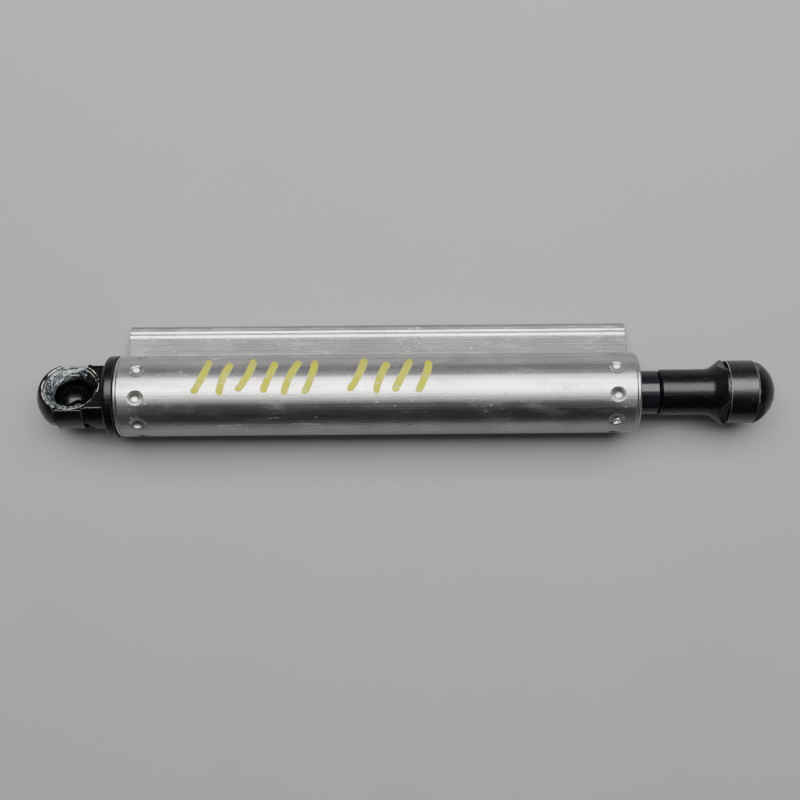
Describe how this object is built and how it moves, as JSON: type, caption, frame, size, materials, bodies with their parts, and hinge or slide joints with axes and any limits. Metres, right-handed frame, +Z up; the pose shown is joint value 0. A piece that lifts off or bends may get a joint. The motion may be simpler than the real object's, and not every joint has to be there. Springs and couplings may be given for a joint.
{
  "type": "gas strut stay",
  "caption": "Telescopic stay strut: round aluminium housing with a side fin, gas cartridge inside, and a black ball socket with a safety band at each end.",
  "frame": {"origin": "centre of the base ball seat", "axes": "+X along the strut towards the rod end, +Y sideways towards the fin, +Z up as the strut lies on a flat surface"},
  "size_m": [0.202, 0.0309, 0.0224],
  "materials": {
    "housing": "mill-finished extrusion, dull, with lengthwise die lines, scuffs and small scratches",
    "base_moulding": "glass-filled nylon, smooth black with a soft sheen, greasy in the seat",
    "rod_moulding": "glass-filled nylon, smooth black with a soft sheen, worn at the edges",
    "bush_moulding": "matt black acetal",
    "bands": "blackened spring steel, satin",
    "rod_steel": "black nitrided and polished",
    "cartridge_steel": "drawn steel, lightly oiled",
    "bright_steel": "turned and pressed steel",
    "insert_brass": "turned brass",
    "bronze": "bronze-filled bearing material, matt",
    "rubber": "nitrile rubber, matt"
  },
  "bodies": {
    "barrel": {"housing_tube": "housing", "base_socket": "base_moulding", "base_band": "bands", "cushion_pad": "rubber", "pressure_tube": "cartridge_steel", "base_cap": "cartridge_steel", "fill_ball": "bright_steel", "rod_guide": "bronze", "rod_seal": "rubber", "backup_washer": "bright_steel", "snap_ring": "bright_steel", "disc_spring": "bright_steel", "end_bush": "bush_moulding", "wiper_ring": "rubber"},
    "carrier": {"piston_ring": "rubber", "wear_band": "bronze"},
    "rod": {"piston_rod": "rod_steel", "piston": "bright_steel", "valve_disc": "bright_steel", "piston_washer": "bright_steel", "piston_nut": "bright_steel", "rebound_bumper": "rubber", "thread_insert": "insert_brass", "rod_socket": "rod_moulding", "rod_band": "bands"}
  },
  "joints": [
    {"name": "rod_slide", "type": "slide", "parent": "barrel", "child": "carrier", "axis": [1, 0, 0], "range_m": [0, 0.074]},
    {"name": "rod_turn", "type": "hinge", "parent": "carrier", "child": "rod", "pos_m": [0.1824, 0, 0], "axis": [1, 0, 0], "continuous": true}
  ]
}
